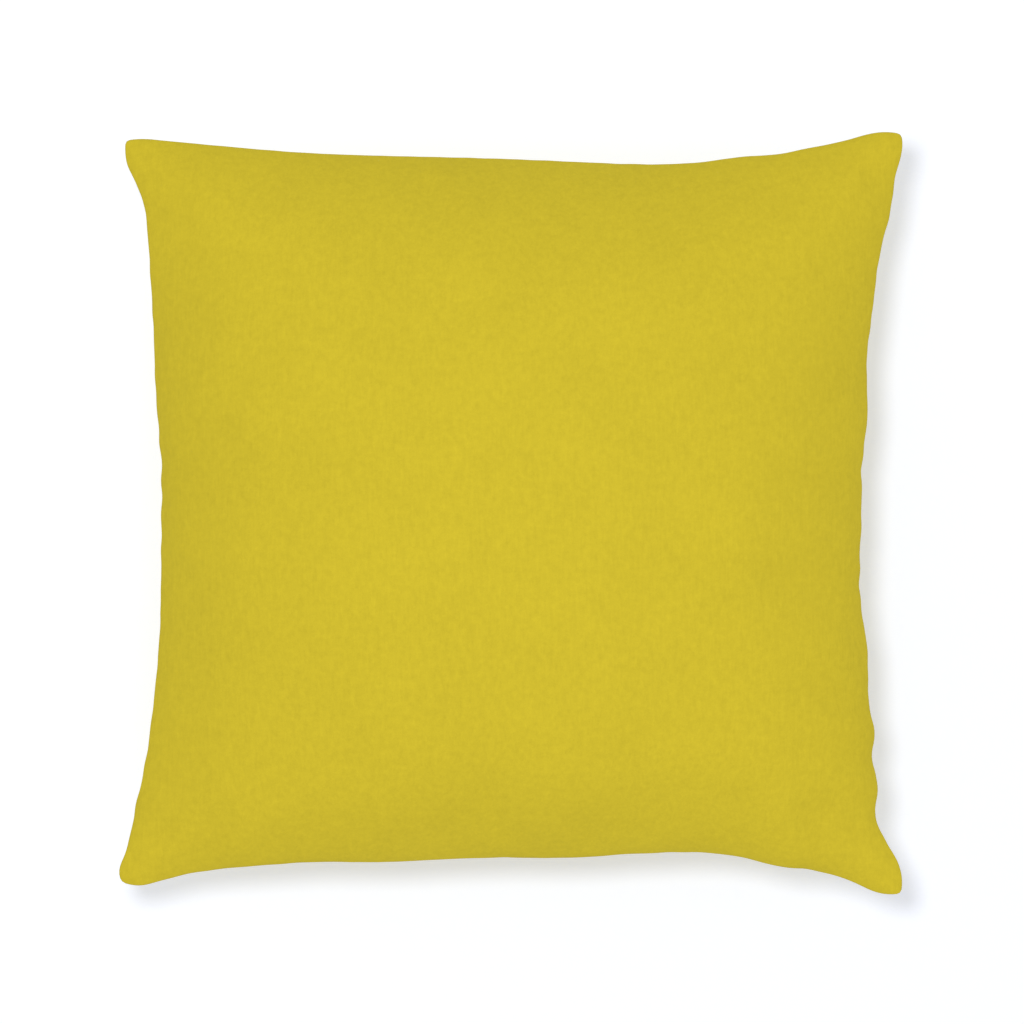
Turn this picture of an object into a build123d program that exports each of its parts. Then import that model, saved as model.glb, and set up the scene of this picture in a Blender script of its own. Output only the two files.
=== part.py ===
from build123d import *
import os
from math import pi, sin

# Square throw pillow: a knife-edge cover of two panels with a concealed coil zip in one seam,
# around a sewn insert full of polyester fibre.  It lies on its back panel.
#
# Millimetres.  The origin is on the surface that the pillow lies on, under its middle.
# +Z is up through the front panel, +X runs along the zip, and the zip is in the -Y seam.
# Each half is built upwards from the seam plane, and the back half is then turned over.

# ---- cover, as it sits when filled -------------------------------------------------------
COVER_X = 447.0         # corner to corner along X
COVER_Y = 437.0         # corner to corner along Y
PULL_IN_X = 25.0        # how far the middle of each X side is drawn in
PULL_IN_Y = 18.0        # how far the middle of the plain Y side is drawn in
PULL_IN_ZIP = 25.5      # how far the zip draws in its side, which it holds straight
CROWN = 78.0            # seam plane to the top of a crown that nothing presses
PRESSED = 13.0          # how much of the back crown its own weight presses flat
FULLNESS = 1.3          # shape of a crown's section: 1 is an ellipse, 2 a parabola
COVER_FABRIC = 1.0
COVER_ALLOWANCE = 12.0  # seam allowance, turned inside

# ---- insert ------------------------------------------------------------------------------
EDGE_GAP = 1.5          # cover allowance to the insert's edge
INSERT_FABRIC = 0.5
INSERT_ALLOWANCE = 6.0
INSERT_RIM = 2.0        # half height of the insert's edge
INSERT_OPENING = 150.0  # stuffing opening, sewn up after filling
LAYER_GAP = 0.3         # cover to insert, and insert to fibre, over the crowns

# ---- threads -----------------------------------------------------------------------------
THREAD = 0.4            # how far a row of stitches stands proud
THREAD_WIDTH = 0.6
STITCH_SETBACK = 1.2    # row of stitches behind the inner face of an edge
THREAD_GAP = 0.3        # closing stitches to the insert's edge

# ---- zip: "half" sizes are across the zip from its middle, along Z -------------------------
ZIP_LENGTH = 305.0      # over the stops
SLIT_HALF = 0.45        # between the two fabric lips
TAPE = 0.5
TAPE_TAIL = 4.5         # tape beyond each stop
TAPE_FLAT = 10.0        # width of tape that is sewn to the allowance
ZIP_STITCH_SETBACK = 5.6  # row of stitches behind the tape's fold
COIL_HALF_INNER = 0.95  # the coil's edge beside the middle
COIL_WIDTH = 1.25
COIL_DEPTH = 1.4
TOOTH_REACH = 0.7       # how far a tooth crosses the middle
TOOTH_PITCH = 1.5
TOOTH_WIDTH = 0.6
STOP_LENGTH = 2.0
STOP_PROUD = 0.2        # stop outside the coil
SLIDING_GAP = 0.3       # slider to anything it passes
CHANNEL_SPARE = 1.0     # straight channel beyond the tape
CHANNEL_RAMP = 18.0     # length in which the allowance comes back to the seam plane

# ---- slider and pull ---------------------------------------------------------------------
SLIDER_LENGTH = 8.0
SLIDER_PLATE = 0.8
SLIDER_SIDE = 0.85      # walls round the coil
WEDGE_LENGTH = 2.0
WEDGE_HALF = 0.65
WEDGE_SETBACK = 0.5     # wedge behind the slider's leading edge
SHELF_GAP = 0.55        # slider to the tape that lies along the allowance
ARCH_LENGTH = 5.2       # arch that holds the pull, along X
ARCH_BAR = 0.8
ARCH_HALF_IN = 0.3      # where it passes between the lips
ARCH_HALF_OUT = 0.4
ARCH_OUT = 3.0          # arch outside the seam line
PIVOT_OUT = 1.15        # pull's pivot outside the seam line
PIVOT_BAR = 0.9         # diameter
PULL_LENGTH = 18.0      # from the pivot
PULL_WIDTH = 4.4
PULL_THICKNESS = 1.0
FORK_DEPTH = 3.6        # from the pivot
FORK_ARM = 0.8
FORK_GAP = 0.2          # arch to each arm
PULL_CORNER = 1.6
PULL_HOLE = 1.0         # radius

SURFACE_SPANS = 20      # of each crown surface, each way
SURFACE_TOLERANCE = 0.01

# ---- places that follow from the sizes -----------------------------------------------------
SEAM_HEIGHT = CROWN - PRESSED
ZIP_EDGE = -(COVER_Y / 2 - PULL_IN_ZIP)                   # Y of the seam line along the zip
HALF_ZIP = ZIP_LENGTH / 2
CHANNEL_HALF = HALF_ZIP + TAPE_TAIL + CHANNEL_SPARE
RAMP_END = CHANNEL_HALF + CHANNEL_RAMP
INSERT_SETBACK = COVER_FABRIC + COVER_ALLOWANCE + EDGE_GAP
INSERT_INNER = INSERT_SETBACK + INSERT_FABRIC
FIBRE_SETBACK = INSERT_INNER + INSERT_ALLOWANCE + INSERT_FABRIC

# Depths are measured inwards from the seam line along the zip.
PLATE_DEPTH = COVER_FABRIC + SLIDING_GAP                  # slider's outer plate
TAPE_DEPTH = PLATE_DEPTH + SLIDER_PLATE + SLIDING_GAP     # tape's upright leg
COIL_START = TAPE_DEPTH + TAPE
COIL_END = COIL_START + COIL_DEPTH
INNER_PLATE = COIL_END + SLIDING_GAP
COIL_HALF_OUTER = COIL_HALF_INNER + COIL_WIDTH
STOP_HALF = COIL_HALF_OUTER + STOP_PROUD
WALL_HALF = COIL_HALF_OUTER + SLIDING_GAP                 # inside of the slider's side walls
SLIDER_HALF = WALL_HALF + SLIDER_SIDE
SHELF_HALF = SLIDER_HALF + SHELF_GAP + TAPE               # tape's outer face, on the allowance
COVER_RIM = SHELF_HALF + COVER_FABRIC                     # half height of the cover's edge
SLIDER_REST = HALF_ZIP - STOP_LENGTH - SLIDING_GAP - SLIDER_LENGTH / 2


def block(x, y, z):
    """A box from its low and high place along each axis."""
    size = [high - low for low, high in (x, y, z)]
    middle = [(high + low) / 2 for low, high in (x, y, z)]
    return Pos(*middle) * Box(*size)


def at_seam(solid):
    """Lifts a piece built about the seam plane to its place in the pillow."""
    return Pos(0, 0, SEAM_HEIGHT) * solid


def at_zip(solid, x=0.0):
    """Puts a piece built about the seam line along the zip in its place."""
    return Pos(x, ZIP_EDGE, SEAM_HEIGHT) * solid


def turned_over(solid):
    return mirror(solid, about=Plane.XY)


# ---- outline and crowns --------------------------------------------------------------------

def plan(u, v, inset):
    """Where u and v, from -1 to 1, fall in the outline, drawn in at each side."""
    along_y = v * (1 - 2 * inset / COVER_Y)
    x = u * (COVER_X / 2 - inset - PULL_IN_X * (1 - along_y * along_y))
    along_x = 2 * x / COVER_X
    past_zip = max(0.0, abs(x) - CHANNEL_HALF) / (COVER_X / 2 - CHANNEL_HALF)
    plain_side = PULL_IN_Y * (1 - along_x * along_x)
    zip_side = PULL_IN_ZIP * (1 - past_zip * past_zip)
    to_zip = (1 - v) / 2
    pull_y = zip_side * to_zip + plain_side * (1 - to_zip)
    return x, v * (COVER_Y / 2 - inset - pull_y)


def spread():
    """Steps from -1 to 1, closest at the ends, where a crown is steepest."""
    return [sin(pi * (i / SURFACE_SPANS - 0.5)) for i in range(SURFACE_SPANS + 1)]


def outline(inset, height=0.0):
    """The closed outline at one height, a curve for each side."""
    steps = spread()
    sides = (
        [(s, -1) for s in steps],
        [(1, s) for s in steps],
        [(-s, 1) for s in steps],
        [(-1, -s) for s in steps],
    )
    return Wire([Spline(*[(*plan(u, v, inset), height) for u, v in side]) for side in sides])


def band(outer, inner, low, high):
    """A flat band that follows the outline, between two insets."""
    face = Face(outline(outer, low), [outline(inner, low)])
    return extrude(face, amount=high - low, dir=(0, 0, 1))


def crowned(inset, rim, crown):
    """Half a filled pillow: an upright rim, closed by a crown."""
    grid = []
    for u in spread():
        row = []
        for v in spread():
            rise = max(0.0, (1 - u * u) * (1 - v * v)) ** (FULLNESS / 2)
            row.append(Vector(*plan(u, v, inset), rim + (crown - rim) * rise))
        grid.append(row)
    dome = Face.make_surface_from_array_of_points(grid, tol=SURFACE_TOLERANCE)
    edges = dome.outer_wire().edges()
    walls = [Face.extrude(edge, (0, 0, -rim)) for edge in edges]
    base = Face(Wire([edge.translate((0, 0, -rim)) for edge in edges]))
    return Solid(Shell([dome, base, *walls]))


def pressed(solid, height):
    """Cuts a crown flat at one height, where the pillow rests on it."""
    return solid - block((-COVER_X, COVER_X), (-COVER_Y, COVER_Y), (height, 2 * CROWN))


def zip_gap():
    """The stretch of seam that the zip takes the place of."""
    return block((-RAMP_END, RAMP_END), (-COVER_Y, ZIP_EDGE / 2), (-CROWN, CROWN))


# ---- cover ---------------------------------------------------------------------------------

def zip_shelf():
    """The allowance along the zip, held apart from its twin, with a ramp at each end."""
    profile = Wire.make_polygon(
        [
            (-RAMP_END, -COVER_Y, 0),
            (-CHANNEL_HALF, -COVER_Y, SHELF_HALF),
            (CHANNEL_HALF, -COVER_Y, SHELF_HALF),
            (RAMP_END, -COVER_Y, 0),
            (RAMP_END, -COVER_Y, COVER_FABRIC),
            (CHANNEL_HALF, -COVER_Y, COVER_RIM),
            (-CHANNEL_HALF, -COVER_Y, COVER_RIM),
            (-RAMP_END, -COVER_Y, COVER_FABRIC),
        ],
        close=True,
    )
    return extrude(Face(profile), amount=COVER_Y, dir=(0, 1, 0)) & allowance_band(COVER_RIM)


def allowance_band(height):
    return band(COVER_FABRIC / 2, COVER_FABRIC + COVER_ALLOWANCE, 0, height)


def cover_panel(outer, inner):
    """One panel: fabric, its turned-in allowance and its lip along the zip."""
    slit = block(
        (-HALF_ZIP, HALF_ZIP),
        (ZIP_EDGE - COVER_FABRIC, ZIP_EDGE + PLATE_DEPTH),
        (-SLIT_HALF, SLIT_HALF),
    )
    return outer - inner - slit + (allowance_band(COVER_FABRIC) - zip_gap()) + zip_shelf()


def cover():
    outer = crowned(0, COVER_RIM, CROWN)
    inner = crowned(COVER_FABRIC, COVER_RIM, CROWN - COVER_FABRIC)
    front = cover_panel(outer, inner)
    back = cover_panel(pressed(outer, SEAM_HEIGHT), pressed(inner, SEAM_HEIGHT - COVER_FABRIC))
    row = COVER_FABRIC + STITCH_SETBACK
    stitches = band(row, row + THREAD_WIDTH, COVER_FABRIC, COVER_FABRIC + THREAD) - zip_gap()
    edge = COVER_FABRIC + COVER_ALLOWANCE
    overlock = band(edge, edge + THREAD, -COVER_FABRIC, COVER_FABRIC) - zip_gap()
    return {
        "cover_front_panel": at_seam(front),
        "cover_back_panel": at_seam(turned_over(back)),
        "cover_seam_needle_thread": at_seam(stitches),
        "cover_seam_bobbin_thread": at_seam(turned_over(stitches)),
        "cover_overlock_thread": at_seam(overlock),
    }


# ---- insert --------------------------------------------------------------------------------

def insert():
    under_cover = CROWN - COVER_FABRIC - LAYER_GAP
    floor = SEAM_HEIGHT - COVER_FABRIC
    outer = crowned(INSERT_SETBACK, INSERT_RIM, under_cover)
    inner = crowned(INSERT_INNER, INSERT_RIM, under_cover - INSERT_FABRIC)
    fibre = crowned(FIBRE_SETBACK, INSERT_RIM, under_cover - INSERT_FABRIC - LAYER_GAP)
    allowance = band(
        INSERT_SETBACK + INSERT_FABRIC / 2, INSERT_INNER + INSERT_ALLOWANCE, 0, INSERT_FABRIC
    )
    front = outer - inner + allowance
    back = pressed(outer, floor) - pressed(inner, floor - INSERT_FABRIC) + allowance
    fill = fibre + turned_over(pressed(fibre, floor - INSERT_FABRIC))
    row = INSERT_INNER + STITCH_SETBACK
    stitches = band(row, row + THREAD_WIDTH, INSERT_FABRIC, INSERT_FABRIC + THREAD)
    edge = INSERT_SETBACK - THREAD_GAP
    opening = block(
        (-INSERT_OPENING / 2, INSERT_OPENING / 2), (0, COVER_Y), (-INSERT_RIM, INSERT_RIM)
    )
    closing = band(edge - THREAD, edge, -THREAD_WIDTH, THREAD_WIDTH) & opening
    return {
        "insert_front_panel": at_seam(front),
        "insert_back_panel": at_seam(turned_over(back)),
        "insert_seam_needle_thread": at_seam(stitches),
        "insert_seam_bobbin_thread": at_seam(turned_over(stitches)),
        "insert_closing_stitches": at_seam(closing),
        "insert_fibre_fill": at_seam(fill),
    }


# ---- zip -----------------------------------------------------------------------------------

def tape():
    """One tape: an upright leg that carries the coil, folded over along the allowance."""
    along = (-HALF_ZIP - TAPE_TAIL, HALF_ZIP + TAPE_TAIL)
    upright = block(along, (TAPE_DEPTH, COIL_START), (COIL_HALF_INNER, SHELF_HALF))
    flat = block(along, (TAPE_DEPTH, TAPE_DEPTH + TAPE_FLAT), (SHELF_HALF - TAPE, SHELF_HALF))
    return upright + flat


def coil(shift):
    """One coil as a comb whose teeth cross the middle, up to the slider's wedge."""
    start, end = -HALF_ZIP + STOP_LENGTH, HALF_ZIP - STOP_LENGTH
    wedge = SLIDER_REST + SLIDER_LENGTH / 2 - WEDGE_SETBACK - WEDGE_LENGTH
    points = [(start, 0, COIL_HALF_OUTER), (start, 0, COIL_HALF_INNER)]
    tooth = start + TOOTH_PITCH / 2 + shift
    while tooth + TOOTH_WIDTH / 2 < wedge - SLIDING_GAP:
        low, high = tooth - TOOTH_WIDTH / 2, tooth + TOOTH_WIDTH / 2
        points += [(low, 0, COIL_HALF_INNER), (low, 0, -TOOTH_REACH)]
        points += [(high, 0, -TOOTH_REACH), (high, 0, COIL_HALF_INNER)]
        tooth += TOOTH_PITCH
    points += [(end, 0, COIL_HALF_INNER), (end, 0, COIL_HALF_OUTER)]
    comb = Face(Wire.make_polygon(points, close=True))
    return Pos(0, COIL_START, 0) * extrude(comb, amount=COIL_DEPTH, dir=(0, 1, 0))


def stop(end, low, high):
    """A stop clamped round the coil, from one half width to another."""
    along = sorted((end * HALF_ZIP, end * (HALF_ZIP - STOP_LENGTH)))
    return block(along, (COIL_START, COIL_END), (low, high))


def zip_fastener():
    row = TAPE_DEPTH + ZIP_STITCH_SETBACK
    under_tape = SHELF_HALF - TAPE
    stitches = block(
        (-HALF_ZIP, HALF_ZIP), (row, row + THREAD_WIDTH), (under_tape - THREAD, under_tape)
    )
    top_stop = stop(1, COIL_HALF_INNER, STOP_HALF)
    return {
        "zipper_tape_front": at_zip(tape()),
        "zipper_tape_back": at_zip(turned_over(tape())),
        "zipper_coil_front": at_zip(coil(0)),
        "zipper_coil_back": at_zip(turned_over(coil(TOOTH_PITCH / 2))),
        "zipper_stitches_front": at_zip(stitches),
        "zipper_stitches_back": at_zip(turned_over(stitches)),
        "zipper_top_stop_front": at_zip(top_stop),
        "zipper_top_stop_back": at_zip(turned_over(top_stop)),
        "zipper_bottom_stop": at_zip(stop(-1, -STOP_HALF, STOP_HALF)),
    }


def slider():
    """Two plates joined by a wedge, side walls round the coil, and an arch between the lips."""
    half = SLIDER_LENGTH / 2
    along = (-half, half)
    lead = half - WEDGE_SETBACK
    body = block(along, (PLATE_DEPTH, PLATE_DEPTH + SLIDER_PLATE), (-SLIDER_HALF, SLIDER_HALF))
    body += block(along, (INNER_PLATE, INNER_PLATE + SLIDER_PLATE), (-SLIDER_HALF, SLIDER_HALF))
    wall = block(along, (COIL_START + SLIDING_GAP, INNER_PLATE), (WALL_HALF, SLIDER_HALF))
    body += wall + turned_over(wall)
    body += block((lead - WEDGE_LENGTH, lead), (PLATE_DEPTH, INNER_PLATE), (-WEDGE_HALF, WEDGE_HALF))
    reach = ARCH_LENGTH / 2
    for low, high in ((-reach, ARCH_BAR - reach), (reach - ARCH_BAR, reach)):
        body += block((low, high), (-ARCH_OUT, PLATE_DEPTH), (-ARCH_HALF_IN, ARCH_HALF_IN))
        body += block((low, high), (-ARCH_OUT, -SLIDING_GAP), (-ARCH_HALF_OUT, ARCH_HALF_OUT))
    bar = (-ARCH_OUT, ARCH_BAR - ARCH_OUT)
    body += block((-reach, reach), bar, (-ARCH_HALF_OUT, ARCH_HALF_OUT))
    return body


def pull():
    """A flat tab on a fork, whose pivot bar runs through the arch.  Built about the pivot."""
    arm_in = ARCH_HALF_OUT + FORK_GAP
    arm_out = arm_in + FORK_ARM
    thick = (-PULL_THICKNESS / 2, PULL_THICKNESS / 2)
    tab = block((-PULL_LENGTH, -FORK_DEPTH), thick, (-PULL_WIDTH / 2, PULL_WIDTH / 2))
    tab = fillet(tab.edges().filter_by(Axis.Y), PULL_CORNER)
    tab -= Pos(PULL_HOLE * 3 - PULL_LENGTH, 0, 0) * Rot(90, 0, 0) * Cylinder(
        PULL_HOLE, 2 * PULL_THICKNESS
    )
    arm = block((-FORK_DEPTH - PULL_CORNER, 0), thick, (arm_in, arm_out))
    arm += Pos(0, 0, (arm_in + arm_out) / 2) * Cylinder(PULL_THICKNESS / 2, FORK_ARM)
    return tab + arm + turned_over(arm) + Cylinder(PIVOT_BAR / 2, 2 * arm_out)


def main():
    nodes = {**cover(), **insert(), **zip_fastener()}
    nodes["zipper_slider"] = at_zip(slider(), SLIDER_REST)
    nodes["zipper_pull_tab"] = at_zip(Pos(0, -PIVOT_OUT, 0) * pull(), SLIDER_REST)
    os.makedirs("parts", exist_ok=True)
    for name, solid in nodes.items():
        export_step(solid, f"parts/{name}.step")


main()
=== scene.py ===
"""Throw pillow: a suede-look cover with a concealed zip, filled by a sewn fibre insert.

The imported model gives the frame.  The cover starts as a crowned shell on the pillow's outline with
a little slack, and a cloth simulation settles it.  Every other soft piece is made from that shape.
"""

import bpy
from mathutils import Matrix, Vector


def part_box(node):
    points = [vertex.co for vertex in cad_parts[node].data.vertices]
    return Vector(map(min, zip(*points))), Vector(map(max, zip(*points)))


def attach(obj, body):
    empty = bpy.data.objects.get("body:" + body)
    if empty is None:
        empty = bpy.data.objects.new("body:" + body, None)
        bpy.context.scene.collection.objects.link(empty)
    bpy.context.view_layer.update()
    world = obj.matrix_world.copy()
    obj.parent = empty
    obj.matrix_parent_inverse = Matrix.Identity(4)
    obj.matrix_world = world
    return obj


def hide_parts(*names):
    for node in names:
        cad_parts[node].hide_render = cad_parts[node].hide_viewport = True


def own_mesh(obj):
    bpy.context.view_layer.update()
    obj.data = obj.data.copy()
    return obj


bl_info = {
    "name": "Throw pillow",
    "version": (1, 0, 0),
    "blender": (4, 5, 0),
    "location": "View3D > Sidebar > Pillow",
    "description": "Builds a square throw pillow with a concealed zip and a fibre insert",
    "category": "Add Mesh",
}

import functools
from math import cos, pi, radians, sin

import bpy
import numpy as np
from mathutils import Vector
from mathutils.bvhtree import BVHTree

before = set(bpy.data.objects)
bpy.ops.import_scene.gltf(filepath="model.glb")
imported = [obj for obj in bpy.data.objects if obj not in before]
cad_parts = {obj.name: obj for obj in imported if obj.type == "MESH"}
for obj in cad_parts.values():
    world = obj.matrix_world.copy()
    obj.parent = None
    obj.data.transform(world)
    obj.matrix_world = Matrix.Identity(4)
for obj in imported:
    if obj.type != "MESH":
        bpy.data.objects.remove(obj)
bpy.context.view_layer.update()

MM = 0.001
GRID = 89                 # points along each side of a panel
SIDE = 457 * MM           # the cover's nominal size, seam to seam
SUBDIVISIONS = 1
WHITE = (1, 1, 1, 1)

# Places that the frame gives.
_, COIL_FRONT_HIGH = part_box("zipper_coil_front")
COIL_BACK_LOW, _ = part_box("zipper_coil_back")
TAPE_LOW, TAPE_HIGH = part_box("zipper_tape_front")
_, SLIDER_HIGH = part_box("zipper_slider")
CLOSING_LOW, CLOSING_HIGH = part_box("insert_closing_stitches")
SEAM_Z = (COIL_FRONT_HIGH.z + COIL_BACK_LOW.z) / 2
TAPE_BEHIND_SEAM = 2.4 * MM
ZIP_LINE = TAPE_LOW.y - TAPE_BEHIND_SEAM
SHELF = TAPE_HIGH.z - SEAM_Z            # seam plane to the allowance that the tape is sewn to
CHANNEL_HALF = TAPE_HIGH.x + 1 * MM     # the zip holds its side straight this far
RAMP = 18 * MM                          # where the seam goes from zipped to plain
ZIP_SIDE = -0.15                        # only the zip's side lies further out along Y than this

# The filled cover's outline, corner to corner, in millimetres from its middle.
BOTTOM_SIDE = (
    (-225.5, -206), (-216, -208.3), (-205, -206.3), (-185, -201.6), (-150, -198.5),
    (-115, -196.6), (-80, -197.4), (-30, -196), (35, -196.6), (75, -194.8), (105, -194.8),
    (122, -197), (135, -200.2), (147, -204), (165, -206), (180, -209), (195, -215),
    (207, -220.2), (218.8, -220.5),
)
RIGHT_SIDE = (
    (218.8, -220.5), (219.6, -211), (213.5, -195), (206, -180), (204.8, -172), (206.8, -160),
    (203.6, -142), (205.4, -130), (203.2, -116), (202, -80), (199, -58), (198.4, -34), (200.4, 6),
    (201, 26), (204.2, 50), (204.6, 85), (208, 110), (214.4, 150), (220, 171), (223, 190),
    (227.2, 208), (226.5, 213),
)
TOP_SIDE = (
    (226.5, 213), (216, 214.2), (195, 209.8), (175, 206), (150, 202), (138, 201.7), (120, 199.6),
    (85, 198), (50, 199.6), (0, 202.6), (-60, 205.2), (-120, 208.6), (-165, 213.2), (-195, 216.6),
    (-207, 217.6), (-215.8, 216.9),
)
LEFT_SIDE = (
    (-215.8, 216.9), (-215, 203), (-208.5, 188.5), (-205, 174), (-203.2, 148), (-201.4, 100),
    (-200.8, 68), (-198.7, 36), (-199, 0), (-200, -40), (-202.5, -80), (-206.4, -112),
    (-211.4, -142), (-218, -170), (-223.2, -190), (-226.8, -200), (-225.5, -206),
)


# ---- settings ------------------------------------------------------------------------------

class PillowShape(bpy.types.PropertyGroup):
    slack: bpy.props.FloatProperty(
        name="Slack", description="How much longer the cloth is than the shape it starts from",
        default=0.006, min=0.0, max=0.05, subtype="FACTOR")
    pressure: bpy.props.FloatProperty(
        name="Fill pressure", description="How hard the fill pushes the cover out",
        default=6.0, min=1.0, max=12.0)
    crown: bpy.props.FloatProperty(
        name="Starting crown", description="Height of each half before the cloth settles",
        default=0.0705, min=0.03, max=0.09, unit="LENGTH")
    pucker: bpy.props.FloatProperty(
        name="Pucker", description="How deep the gathers beside the seam are",
        default=0.4 * MM, min=0.0, max=2 * MM, unit="LENGTH")
    cloth: bpy.props.FloatProperty(
        name="Cover cloth", description="Thickness of the cover's cloth",
        default=0.45 * MM, min=0.3 * MM, max=0.48 * MM, unit="LENGTH")
    lining: bpy.props.FloatProperty(
        name="Insert cloth", description="Thickness of the insert's cloth",
        default=0.3 * MM, min=0.2 * MM, max=0.5 * MM, unit="LENGTH")
    stitch: bpy.props.FloatProperty(
        name="Stitch length", description="Length of one machine stitch",
        default=2.8 * MM, min=2 * MM, max=4 * MM, unit="LENGTH")


class PillowFinish(bpy.types.PropertyGroup):
    suede: bpy.props.FloatVectorProperty(
        name="Cover", description="Colour of the suede cloth", subtype="COLOR",
        default=(0.59, 0.468, 0.027), min=0, max=1, size=3)
    thread: bpy.props.FloatVectorProperty(
        name="Thread", description="Colour of the cover's sewing thread", subtype="COLOR",
        default=(0.52, 0.41, 0.03), min=0, max=1, size=3)
    tape: bpy.props.FloatVectorProperty(
        name="Zip tape", description="Colour of the zip's tapes and coils", subtype="COLOR",
        default=(0.5, 0.39, 0.035), min=0, max=1, size=3)
    metal: bpy.props.FloatVectorProperty(
        name="Zip metal", description="Colour of the slider, pull and stops", subtype="COLOR",
        default=(0.44, 0.43, 0.41), min=0, max=1, size=3)
    lining: bpy.props.FloatVectorProperty(
        name="Insert", description="Colour of the insert's cloth", subtype="COLOR",
        default=(0.82, 0.8, 0.76), min=0, max=1, size=3)
    fibre: bpy.props.FloatVectorProperty(
        name="Fibre", description="Colour of the fibre fill", subtype="COLOR",
        default=(0.87, 0.87, 0.85), min=0, max=1, size=3)


class PillowStage(bpy.types.PropertyGroup):
    view_width: bpy.props.FloatProperty(
        name="View width", description="Width of the picture at the seam's height",
        default=0.5837, min=0.3, max=2.0, unit="LENGTH")
    turn: bpy.props.FloatProperty(
        name="Turn", description="How far the pillow lies turned in the picture",
        default=radians(1.0), min=radians(-10), max=radians(10), subtype="ANGLE")
    key: bpy.props.FloatProperty(
        name="Key light", description="Power of the large soft light overhead",
        default=24.0, min=0.0, max=500.0, subtype="POWER")
    fill: bpy.props.FloatProperty(
        name="Fill light", description="Power of the flagged light that reaches only the pillow",
        default=10.0, min=0.0, max=500.0, subtype="POWER")
    surround: bpy.props.FloatProperty(
        name="Surround", description="Strength of the even white light all round",
        default=0.56, min=0.0, max=3.0)
    table: bpy.props.FloatProperty(
        name="Table glow", description="Light that the translucent white table gives off",
        default=0.385, min=0.0, max=2.0)


# ---- curves and meshes ---------------------------------------------------------------------

FINER = 20                # points along a curve for each one kept


def smooth_curve(points, count):
    """Evenly spaced points along a natural cubic through a few given ones."""
    knots = np.array(points, float)
    steps = np.linalg.norm(np.diff(knots, axis=0), axis=1)
    along = np.concatenate([[0], np.cumsum(steps)])
    size = len(knots)
    system, right = np.zeros((size, size)), np.zeros((size, knots.shape[1]))
    system[0, 0] = system[-1, -1] = 1
    for i in range(1, size - 1):
        system[i, i - 1:i + 2] = steps[i - 1], 2 * (steps[i - 1] + steps[i]), steps[i]
        ahead, behind = knots[i + 1] - knots[i], knots[i] - knots[i - 1]
        right[i] = 6 * (ahead / steps[i] - behind / steps[i - 1])
    bend = np.linalg.solve(system, right)

    def at(x):
        i = np.clip(np.searchsorted(along, x) - 1, 0, size - 2)
        h = steps[i][:, None]
        a, b = (along[i + 1] - x)[:, None], (x - along[i])[:, None]
        cubic = (bend[i] * a ** 3 + bend[i + 1] * b ** 3) / (6 * h)
        from_start = (knots[i] / h - bend[i] * h / 6) * a
        to_end = (knots[i + 1] / h - bend[i + 1] * h / 6) * b
        return cubic + from_start + to_end

    fine = at(np.linspace(0, along[-1], FINER * count))
    return evenly(fine, count)


def evenly(points, count):
    """The same line with its points evenly spaced."""
    length = np.concatenate([[0], np.cumsum(np.linalg.norm(np.diff(points, axis=0), axis=1))])
    wanted = np.linspace(0, length[-1], count)
    return np.stack([np.interp(wanted, length, points[:, k]) for k in range(points.shape[1])], 1)


def grid_faces(rows, columns, offset=0, flip=False):
    """The quads between the points of a grid."""
    index = np.arange(rows * columns).reshape(rows, columns) + offset
    quads = np.stack([index[:-1, :-1], index[1:, :-1], index[1:, 1:], index[:-1, 1:]], -1)
    quads = quads.reshape(-1, 4)
    return quads[:, ::-1] if flip else quads


def rim_loop(size):
    """The indices round the edge of a square grid, anticlockwise from its first corner."""
    index = np.arange(size * size).reshape(size, size)
    return np.concatenate([index[:-1, 0], index[-1, :-1], index[:0:-1, -1], index[0, :0:-1]])


def make_piece(name, points, faces, material, body="pillow", nodes=()):
    """A named mesh piece with one material, which rides on a body and stands for its nodes."""
    mesh = bpy.data.meshes.new(name)
    mesh.from_pydata(np.asarray(points).tolist(), [], [list(map(int, f)) for f in faces])
    mesh.materials.append(material)
    mesh.polygons.foreach_set("use_smooth", [True] * len(mesh.polygons))
    mesh.update()
    piece = bpy.data.objects.new(name, mesh)
    bpy.context.scene.collection.objects.link(piece)
    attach(piece, body)
    if nodes:
        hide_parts(*nodes)
    return piece


NEVER_ALONG = (0.13, 0.21, 1.0)     # a way that no thread or wire runs


def tube(path, radius, sides):
    """Points and faces of a round thread or wire along a path, with flat ends."""
    ahead = np.gradient(path, axis=0)
    ahead /= np.linalg.norm(ahead, axis=1, keepdims=True)
    across = np.cross(ahead, NEVER_ALONG)
    across /= np.linalg.norm(across, axis=1, keepdims=True)
    up = np.cross(across, ahead)
    turn = np.arange(sides) * 2 * pi / sides
    wide, high = np.cos(turn)[None, :, None], np.sin(turn)[None, :, None]
    ring = across[:, None] * wide + up[:, None] * high
    points = (path[:, None] + radius * ring).reshape(-1, 3)
    count = len(path)
    faces = []
    for i in range(count - 1):
        a, b = i * sides, (i + 1) * sides
        faces += [(a + k, a + (k + 1) % sides, b + (k + 1) % sides, b + k) for k in range(sides)]
    faces.append(tuple(range(sides))[::-1])
    faces.append(tuple(range((count - 1) * sides, count * sides)))
    return points, faces


def waves(length, shortest, longest, seed, count=7):
    """A smooth irregular wave of about unit height for each place along a length."""
    rng = np.random.default_rng(seed)
    sizes = rng.uniform(shortest, longest, count)
    phases = rng.uniform(0, 2 * pi, count)
    heights = rng.uniform(0.5, 1.0, count)
    total = sum(
        h * np.sin(2 * pi * length / s + p) for s, p, h in zip(sizes, phases, heights))
    return total / heights.sum() * 2


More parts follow.
